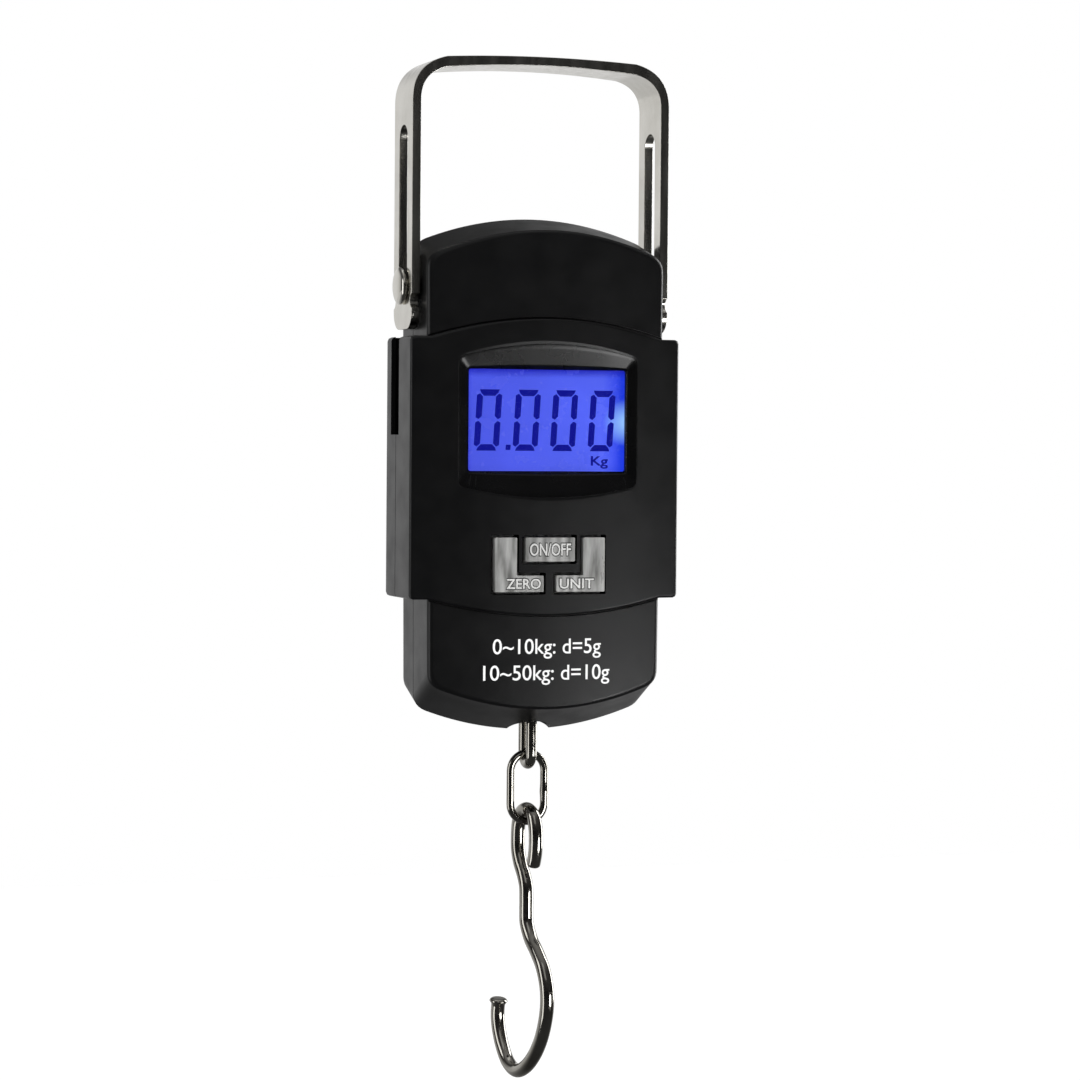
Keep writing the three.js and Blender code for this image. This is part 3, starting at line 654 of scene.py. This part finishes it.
def recess_tool():
    """The sloped wall carried on in front of the housing, and straight in behind it."""
    out = []
    for near, deep in zip(recess_near, recess_deep):
        a, b = Vector(near), Vector(deep)
        out.append(tuple(a + (a - b) * ((19 + a.y) / (b.y - a.y))))
    floor = [(x, -11.0, z) for x, _, z in recess_deep]
    return loft("tool", [out, recess_near, recess_deep, floor])


front = outer_body("front_shell")
cut(front, other_half(True), *shared_cuts())
for x, z in HOUSING_SCREWS:
    combine(front, "UNION", rod("y", 2.4, (-12.2, -SEAM), (x, z), 32))
    cut(front, rod("y", 1.4, (-9, 1), (x, z), 24))
cut(front, recess_tool(), box((-23.4, 23.4), (-12.9, -8), (-104.6, -73.7)))
for side in (-1, 0, 1):
    cut(front, prism("tool", key_outline(side, 0.7, 0.5), (-20, -10)))
soften(front, 0.22, 3)
settle_normals(front, band_front, narrow_front)
put(front, "housing", black, ["front_housing"])
front.data.materials.append(painted_pocket_shade)  # the walls of the key openings get a darker, duller copy of the black: painted shade
for face in front.data.polygons:
    x, y, z = face.center / MM
    if abs(x) < 15.3 and -132.8 < z < -117.6 and -17.2 < y < -10 and abs(face.normal.y) < 0.5:
        face.material_index = 1

# the sloped bezel is a smoother lining laid over the recess, in a darker black that paints shade on its
# walls
RECESS_Z = -89.2
rings = [between(t) for t in (0.1, 0.28, 0.46, 0.64, 0.82, 1.0)]
inward = []
for ring in rings:
    proud = [Vector((-x, -2.2, RECESS_Z - z)).normalized() * 0.05 for x, _, z in ring]
    inward.append([tuple(Vector(p) + step) for p, step in zip(ring, proud)])
lining = loft("display_bezel", rings + inward[::-1], closed=True)
put(lining, "housing", painted_bezel_shade)

# ------------------------------------------------------------------ rear shell
rear = outer_body("rear_shell")
cut(rear, other_half(False), *shared_cuts())
# the ledge that the cover lies on, and the block that holds the cells
combine(rear, "UNION", box((-26.8, 26.8), (6.6, 9.2), (-133.8, -74.2)))
combine(rear, "UNION", box((-22.4, 22.4), (-4.3, 8.2), (-132, -76)))
for x, z in HOUSING_SCREWS:
    combine(rear, "UNION", rod("y", 2.9, (SEAM, 9.2), (x, z), 32))
    cut(rear, rod("y", 1.4, (-1, 11), (x, z), 24), rod("y", 2.3, (7.4, 11), (x, z), 40))
for side in (-1, 1):
    cut(rear, box(outward(side, 9.8, 21.4), (-3.1, 12), (-130, -79)))
cut(rear, box((-7.4, 7.4), (-6, 6.4), (-134, -74)))
cut(rear, prism("tool", rectangle(25.2, -132.2, -75.8, 1.2), (8.3, 12)))
cut(rear, prism("tool", rectangle(6, -77, -73.1, 0.6), (5.5, 12)))
# shallow grooves for grip, above the cover
for z in (-56.5, -59.1, -61.7, -64.3):
    cut(rear, prism("tool", rectangle(13, z - 0.5, z + 0.5, 0.45), (9.7, 12)))
soften(rear, 0.2, 3)
put(rear, "housing", black, ["rear_housing"])

# ------------------------------------------------------------------ battery cover
COVER_Y = (8.6, 10.0)
cover = prism("battery_door", rectangle(24.9, -131.9, -76.1, 1.0), COVER_Y)
combine(cover, "UNION", prism("tool", rectangle(5.6, -77.5, -73.5, 0.5), COVER_Y))
for side in (-1, 1):
    cut(cover, box(outward(side, 6.1, 7.1), (7, 12), (-85.1, -75.1)))
for z in (-82.7, -80.9, -79.1, -77.3):
    cut(cover, prism("tool", rectangle(4.5, z - 0.4, z + 0.4, 0.35), (9.4, 12)))
arrow = [(-3.2, -90.0), (3.2, -90.0), (0, -94.0)]
cut(cover, prism("tool", rounded(arrow, 0.5), (9.7, 12)))
soften(cover, 0.15, 2)
put(cover, "battery_cover", black, ["battery_cover"])

# ------------------------------------------------------------------ display
pane = prism("window_pane", rectangle(23, -104.2, -74.1, 0.8), (-12.6, -11.9))
soften(pane, 0.1, 2)
put(pane, "housing", window, ["display_window"])
panel = prism("display_panel", rectangle(22.6, -104, -74.3, 0.4), (PANEL_Y, -9.5))
soften(panel, 0.1, 2)
put(panel, "housing", display, ["lcd_panel"])

SLANT = 0.06
INK_Y = (-11.68, -11.62)


def segment_bars(x, z_low, z_high, width, bar):
    """Seven-segment bars for a nought: all but the middle one."""
    h = width / 2
    zm = (z_low + z_high) / 2
    g = 0.22
    c = bar * 0.5
    shapes = []
    for zc, up in ((z_high - c, 1), (z_low + c, -1)):
        ends = [(h - bar - g, zc - up * c), (h - c - g, zc), (h - c * 0.6 - g, zc + up * c)]
        shapes.append([(-ends[1][0], zc), (-ends[0][0], zc - up * c), *ends, (-ends[2][0], zc + up * c)])
    for side in (-1, 1):
        for low, high in ((z_low + c + g, zm - g), (zm + g, z_high - c - g)):
            outer = [(h - c, low), (h, low + c * 0.5), (h, high - c * 0.5), (h - c, high)]
            inner = [(h - bar, high - c), (h - bar, low + c)]
            shapes.append([(side * p, z) for p, z in outer + inner])
    return [[(x + p + (z - zm) * SLANT, z) for p, z in shape] for shape in shapes]


def join(name, objects):
    """One object from the meshes of several, which are removed."""
    bm = bmesh.new()
    for o in objects:
        bm.from_mesh(o.data)
    mesh = bpy.data.meshes.new(name)
    bm.to_mesh(mesh)
    bm.free()
    for o in objects:
        bpy.data.objects.remove(o)
    return add_object(name, mesh)


shapes = []
for x in (-15.0, -4.8, 5.1, 15.1):
    shapes += segment_bars(x, -96.8, -81.5, 6.6, 1.6)
shapes.append([(-10.35, -96.6), (-9.1, -96.6), (-9.0, -95.3), (-10.25, -95.3)])  # the decimal point
ink = [prism("tool", rounded(outline, 0.12, 2), INK_Y) for outline in shapes]
put(join("display_figures", ink), "housing", segment_ink)


def lettering(name, words, centre, size, surface, body, material, depth=0.05, bold=0.0):
    """Flat letters facing the front, laid on the surface y = surface(x). size is their width and height."""
    curve = bpy.data.curves.new(name, "FONT")
    curve.body = words
    curve.align_x = "CENTER"
    curve.align_y = "CENTER"
    curve.size = 1.0
    curve.offset = bold
    curve.resolution_u = 5
    curve.extrude = 0.5
    text = add_object(name + "_text", curve)
    mesh = evaluated_mesh(text)
    bpy.data.objects.remove(text)
    xs = [v.co.x for v in mesh.vertices]
    ys = [v.co.y for v in mesh.vertices]
    across, up = size[0] / (max(xs) - min(xs)), size[1] / (max(ys) - min(ys))
    mx, my = (max(xs) + min(xs)) / 2, (max(ys) + min(ys)) / 2
    for v in mesh.vertices:
        x, z = centre[0] + (v.co.x - mx) * across, centre[1] + (v.co.y - my) * up
        v.co = Vector((x, surface(x) - (depth if v.co.z > 0 else -0.02), z)) * MM
    mesh.name = name
    for p in mesh.polygons:
        p.use_smooth = False
    put(add_object(name, mesh), body, material)


ink_back = lambda x: INK_Y[1]
lettering("display_unit", "Kg", (14.6, -99.6), (4.6, 3.2), ink_back, "housing", segment_ink, bold=0.02)
for i, words, z, width in ((1, "0~10kg: d=5g", -146.3, 28.6), (2, "10~50kg: d=10g", -152.9, 33.4)):
    name = f"capacity_line_{i}"
    lettering(name, words, (0, z), (width, 5.0), narrow_front, "housing", white_ink, bold=0.004)

# ------------------------------------------------------------------ keys
for which, side, words, place, size in (
    ("zero", -1, "ZERO", (-7.0, -129.95), (9.0, 2.5)),
    ("on_off", 0, "ON/OFF", (0, -121.4), (10.8, 3.1)),
    ("unit", 1, "UNIT", (7.0, -129.95), (9.0, 2.5)),
):
    node = which + "_key"
    cap = prism("key_" + which, key_outline(side, 0, 0.35), (KEY_Y, KEY_BACK))
    flange = prism("tool", key_outline(side, 0.95, 0.35), (KEY_BACK - 0.8, KEY_BACK))
    combine(cap, "UNION", flange)
    soften(cap, 0.25, 4)
    put(cap, node, key_paint, [node])
    # a slightly larger dark sheet under each raised letter paints the shade round its edge
    legend, wider = "legend_" + which, (size[0] + 0.5, size[1] + 0.5)
    lettering(legend + "_edge", words, place, wider, lambda x: KEY_Y, node, legend_edge_shade, 0.03, 0.06)
    # the raised letter itself, in the lighter silver: painted highlight
    lettering(legend, words, place, size, lambda x: KEY_Y, node, legend_highlight, 0.22, 0.012)

# ------------------------------------------------------------------ handle
def strip_line(half, corner, crown):
    """The handle's edge from the left foot to the right foot."""
    rise = 2.8
    reach = half - corner
    shoulder = crown - rise
    shares = [k / 18 for k in range(1, 19)]
    pts = [(-half, -66.6 + i * (shoulder - corner + 66.6) / 12) for i in range(13)]
    knee = (-reach, shoulder + 2 * rise * corner / reach)
    pts += quad(pts[-1], (-half, shoulder), knee, shares)
    pts += quad(knee, (-reach / 2, crown), (0, crown), shares)
    return pts + [(-x, z) for x, z in reversed(pts[:-1])]


def arc(centre, radius, start, quarters, steps):
    """Points on part of a circle, from a start angle counted in quarter turns."""
    angles = [math.pi / 2 * (start + quarters * k / steps) for k in range(steps + 1)]
    return [(centre[0] + radius * math.cos(a), centre[1] + radius * math.sin(a)) for a in angles]


HALF_STRIP = 8
THROUGH = (-36, 36)
rings = []
for (x, z), (p, q) in zip(strip_line(34, 9, 2.2), strip_line(31.8, 6.8, 0)):
    rings.append([(x, -HALF_STRIP, z), (p, -HALF_STRIP, q), (p, HALF_STRIP, q), (x, HALF_STRIP, z)])
handle = loft("bail_handle", rings)
slot_outline = arc((0, -19.1), 3.7, 0, 2, 24) + arc((0, STUD_Z), 3.7, 2, 2, 24)
cut(handle, prism("tool", slot_outline, THROUGH, "x"))
# rounded feet, with a notch at each edge above them
corners = arc((3.5, -62.1), 4.5, 0, -1, 12) + arc((-3.5, -62.1), 4.5, -1, -1, 12)
foot = [(-10, -70), (10, -70), (10, -62.1), *corners, (-10, -62.1)]
cut(handle, prism("tool", foot, THROUGH, "x"))
for side in (-1, 1):
    cut(handle, rod("x", 1.75, THROUGH, (side * 8.15, -59.55), 40))
soften(handle, 0.35, 3, 40)
put(handle, "handle", strip_nickel, ["handle"])

# ------------------------------------------------------------------ studs and screws
STUD = [(24, 0), (24, 1.9), (24.1, 2), (29.4, 2), (29.5, 3.4), (34.25, 3.4), (34.3, 4.6), (34.4, 4.7)]
STUD += [(34.8 + 1.3 * math.sin(a), 4.7 * math.cos(a)) for a in [k / 14 * math.pi / 2 for k in range(15)]]
for side, node in ((-1, "handle_stud_left"), (1, "handle_stud_right")):
    stud = spin("shoulder_" + node[7:], STUD, (0, 0, STUD_Z), (side, 0, 0))
    soften(stud, 0)
    put(stud, "housing", nickel, [node])

SCREW_SHANK = [(-8.5, 0), (-8.2, 0.5), (-7.6, 1.1), (7.65, 1.1)]
SCREW_HEAD = [(7.7, 1.9), (7.8, 2.0), (8.6, 2.0), (9.0, 1.9), (9.25, 1.6), (9.38, 1.1), (9.4, 0)]
for i, (x, z) in enumerate(HOUSING_SCREWS):
    screw = spin(f"case_screw_{i + 1}", SCREW_SHANK + SCREW_HEAD, (x, 0, z), (0, 1, 0), 40)
    for half_x, half_z in ((1.25, 0.3), (0.3, 1.25)):  # the cross recess
        cut(screw, box((x - half_x, x + half_x), (8.5, 11), (z - half_z, z + half_z)))
    soften(screw, 0.06, 2)
    put(screw, "housing", zinc, [f"housing_screw_{i + 1}"])

# ------------------------------------------------------------------ hook train
# wire centre lines and radii
EYE_TOP, EYE_BOTTOM = -163.3, -176.6
EYE_WIRE, LINK_WIRE, HOOK_WIRE = 1.4, 1.0, 1.8
GAP = 0.3
LINK_TOP = EYE_BOTTOM + EYE_WIRE + LINK_WIRE + GAP
LINK_BOTTOM = LINK_TOP - 17.5
HOOK_TOP = LINK_BOTTOM + LINK_WIRE + HOOK_WIRE + GAP


def oval(half, top, bottom, across):
    """A loop with round ends and straight sides, standing in the plane of Z and one other axis."""
    high, low = top - half, bottom + half
    pts = arc((0, high), half, 0, 2, 20)
    pts += [(-half, high + (low - high) * i / 12) for i in range(1, 12)]
    pts += arc((0, low), half, 2, 2, 20)
    pts += [(half, low + (high - low) * i / 12) for i in range(1, 12)]
    return [(p, 0, z) if across == "x" else (0, p, z) for p, z in pts]


eye = tube("eye_ring", oval(3, EYE_TOP, EYE_BOTTOM, "y"), EYE_WIRE, closed=True)
SHANK = [(0, 0), (0.3, 1.9), (1, 2.3), (34.6, 2.3), (35.3, 1.8), (35.3, 0)]
combine(eye, "UNION", spin("tool", SHANK, (0, 0, EYE_TOP), (0, 0, 1), 40))
soften(eye, 0)
put(eye, "housing", chrome, ["eye_bolt"])

WELD_Z = -183.8
path = oval(4.5, LINK_TOP, LINK_BOTTOM, "x")
swell = []
for x, _, z in path:
    weld = math.exp(-(((z - WELD_Z) / 1.1) ** 2)) if x > 0 else 0
    swell.append(LINK_WIRE * (1 + 0.12 * weld))
link = tube("link_loop", path, LINK_WIRE, closed=True, radii=swell)
soften(link, 0)
put(link, "chain_link", chrome, ["chain_link"])

# wire centre line in the hook's own plane: the eye from its free end, as (Y, drop), then the bow, as (Y, Z)
EYE_LINE = [(-3.5, 13.6), (-4.3, 11), (-4.6, 7.5), (-4.2, 3.8), (-2.7, 1.1), (0, 0), (2.7, 1.1)]
EYE_LINE += [(4.2, 3.8), (4.6, 7.5), (4.4, 11), (3.2, 14.2), (1.4, 17), (0.2, 19.8)]
BOW_LINE = [(0, -211.5), (0, -214.5), (-0.3, -217.6), (-2.4, -221.2), (-5.6, -224.3), (-8.6, -227.8)]
BOW_LINE += [(-10.5, -232.3), (-10.9, -236.8), (-10, -241.4), (-7.9, -246.3), (-4.6, -250.8), (-0.3, -254.4)]
BOW_LINE += [(4.3, -256.1), (8.6, -254.7), (11.8, -251), (13.8, -246.6), (14.4, -243), (14, -239.6)]
line = spline([(0, y, HOOK_TOP - drop) for y, drop in EYE_LINE] + [(0, y, z) for y, z in BOW_LINE], 9)
radii = []
for i in range(len(line)):
    left = len(line) - 1 - i
    flare = 0.32 * math.exp(-((left / 1.6) ** 2)) if left < 6 else 0
    radii.append(HOOK_WIRE * (1 + flare))
hook = tube("hook_wire", line, HOOK_WIRE, radii=radii, sides=32)
hook.data.transform(Matrix.Rotation(TURN, 4, "Z"))
soften(hook, 0)
put(hook, "hook", chrome, ["hook"])

# ------------------------------------------------------------------ pieces inside keep their CAD meshes
INSIDE = (
    (zinc, "load_yoke stud_nut_left stud_nut_right yoke_bolt eye_bolt_nut board_screw_1 board_screw_2"),
    (zinc, "contact_plate_left contact_plate_right contact_spring_left contact_spring_right"),
    (alloy, "load_cell"),
    (film, "strain_gauge_left strain_gauge_right"),
    (rubber, "gauge_cable key_mat"),
    (diffuser, "backlight_panel"),
    (board, "circuit_board"),
    (wrap, "battery_left battery_right"),
)
for material, node in [(material, node) for material, nodes in INSIDE for node in nodes.split()]:
    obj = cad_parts[node]
    obj.data.materials.clear()
    obj.data.materials.append(material)
    b = obj.modifiers.new("edges", "BEVEL")
    b.width = 0.12 * MM
    b.segments = 2
    b.limit_method = "ANGLE"
    b.angle_limit = math.radians(40)
    b.use_clamp_overlap = True

# ------------------------------------------------------------------ floor, light and camera
floor_mesh = bpy.data.meshes.new("floor")
floor_mesh.from_pydata([(-4, -4, 0), (4, -4, 0), (4, 4, 0), (-4, 4, 0)], [], [(0, 1, 2, 3)])
floor = add_object("floor", floor_mesh)
floor.location.z = -0.75
# pale to the eye; in reflections it is dim near the part and bright far behind it
pale = Maker("pale_floor", (0.92, 0.92, 0.92), 0.8)
pale.roughness(pale.noise(6, 3), 0.75, 0.85)
rays = pale.node("ShaderNodeLightPath")
pale.set("Emission Color", (1, 1, 1, 1))
pale.set("Emission Strength", 0.16)
dim = pale.node("ShaderNodeBsdfDiffuse")
dim.inputs["Color"].default_value = (0.035, 0.035, 0.035, 1)
pick = pale.node("ShaderNodeMixShader")
pale.link(rays.outputs["Is Glossy Ray"], pick.inputs["Fac"])
pale.link(pale.bsdf.outputs["BSDF"], pick.inputs[1])
place = pale.node("ShaderNodeSeparateXYZ")
pale.link(pale.node("ShaderNodeNewGeometry").outputs["Position"], place.inputs["Vector"])
far = pale.node("ShaderNodeEmission")
pale.link(pale.spread(place.outputs["Y"], 0, 0.6, 0.1, 1.6), far.inputs["Strength"])
both = pale.node("ShaderNodeAddShader")
pale.link(dim.outputs["BSDF"], both.inputs[0])
pale.link(far.outputs["Emission"], both.inputs[1])
pale.link(both.outputs["Shader"], pick.inputs[2])
pale.link(pick.outputs["Shader"], pale.tree.nodes["Material Output"].inputs["Surface"])
floor.data.materials.append(pale.material)

bpy.context.scene.view_settings.view_transform = "Standard"
world = bpy.data.worlds.new("studio")
bpy.context.scene.world = world
world.use_nodes = True
sky = world.node_tree
for n in list(sky.nodes):
    sky.nodes.remove(n)


def sky_node(kind, **values):
    n = sky.nodes.new(kind)
    for key, value in values.items():
        setattr(n, key, value)
    return n


# white to the camera and for soft light, with a dim studio in the reflections
direction = sky_node("ShaderNodeTexCoord").outputs["Generated"]
apart = sky_node("ShaderNodeSeparateXYZ")
sky.links.new(direction, apart.inputs["Vector"])
room = sky_node("ShaderNodeValToRGB")
LEVELS = ((0.0, 0.05), (0.42, 0.02), (0.5, 0.012), (0.58, 0.02), (0.8, 0.07), (1.0, 0.4))
for i, (position, level) in enumerate(LEVELS):
    e = room.color_ramp.elements[i] if i < 2 else room.color_ramp.elements.new(position)
    e.position, e.color = position, (level, level, level, 1)
height = sky_node("ShaderNodeMapRange")
height.inputs["From Min"].default_value = -1
sky.links.new(apart.outputs["Z"], height.inputs["Value"])
sky.links.new(height.outputs["Result"], room.inputs["Fac"])


def sky_step(axis, start, end, level):
    """Rises smoothly from 0 to a level as the direction passes from start to end along an axis."""
    n = sky_node("ShaderNodeMapRange", interpolation_type="SMOOTHSTEP")
    n.inputs["From Min"].default_value = start
    n.inputs["From Max"].default_value = end
    n.inputs["To Max"].default_value = level
    sky.links.new(apart.outputs[axis], n.inputs["Value"])
    return n.outputs["Result"]


# a bright backdrop behind the part, which fades out above the horizon
strip = sky_node("ShaderNodeMath", operation="MULTIPLY")
sky.links.new(sky_step("Y", 0.25, 0.9, 0.75), strip.inputs[0])
sky.links.new(sky_step("Z", 0.5, 0.22, 1), strip.inputs[1])
total = sky_node("ShaderNodeMix", data_type="RGBA", blend_type="ADD")
total.inputs["Factor"].default_value = 1.0
sky.links.new(room.outputs["Color"], total.inputs[6])
sky.links.new(strip.outputs["Value"], total.inputs[7])
white = sky_node("ShaderNodeBackground")
white.inputs["Color"].default_value = (1, 1, 1, 1)
studio = sky_node("ShaderNodeBackground")
sky.links.new(total.outputs[2], studio.inputs["Color"])
rays = sky_node("ShaderNodeLightPath")
choose = sky_node("ShaderNodeMixShader")
sky.links.new(rays.outputs["Is Glossy Ray"], choose.inputs["Fac"])
sky.links.new(white.outputs["Background"], choose.inputs[1])
sky.links.new(studio.outputs["Background"], choose.inputs[2])
out = sky_node("ShaderNodeOutputWorld")
sky.links.new(choose.outputs["Shader"], out.inputs["Surface"])


def soft_light(name, power, size, place, aim=(0, 0, -0.12)):
    data = bpy.data.lights.new(name, "AREA")
    data.energy = power
    data.shape = "RECTANGLE"
    data.size, data.size_y = size
    obj = add_object(name, data)
    obj.location = place
    obj.rotation_euler = (Vector(aim) - Vector(place)).to_track_quat("-Z", "Y").to_euler()


soft_light("key_light", 2.5, (0.35, 1.0), (-0.95, -0.1, -0.15))
soft_light("fill_light", 0.4, (0.5, 0.6), (-0.25, -0.9, 0.55))
soft_light("rim_light", 6, (0.25, 0.9), (0.9, 0.25, 0.05))
soft_light("top_light", 0.5, (0.7, 0.4), (0.0, 0.1, 0.8))
soft_light("low_light", 0.95, (0.2, 0.15), (0.28, -0.42, -0.3), (0, 0, -0.15))


def aim_camera():
    """The photograph's view: a little from the left and above, slightly rolled."""
    azimuth, tilt, roll = math.radians(-18.56), math.radians(1.769), math.radians(0.464)
    back = Vector((math.sin(azimuth) * math.cos(tilt), -math.cos(azimuth) * math.cos(tilt), math.sin(tilt)))
    right = Vector((math.cos(azimuth), math.sin(azimuth), 0))
    up = back.cross(right)
    across = right * math.cos(roll) + up * math.sin(roll)
    upward = up * math.cos(roll) - right * math.sin(roll)
    target = Vector((0, 0, -119.53)) + right * 2.76
    distance = 856
    data = bpy.data.cameras.new("camera")
    data.sensor_width = 36
    data.lens = 112
    data.clip_start = 0.05
    data.clip_end = 50
    camera = add_object("camera", data)
    turn = Matrix((across, upward, back)).transposed().to_4x4()
    turn.translation = (target + back * distance) * MM
    camera.matrix_world = turn
    bpy.context.scene.camera = camera


aim_camera()
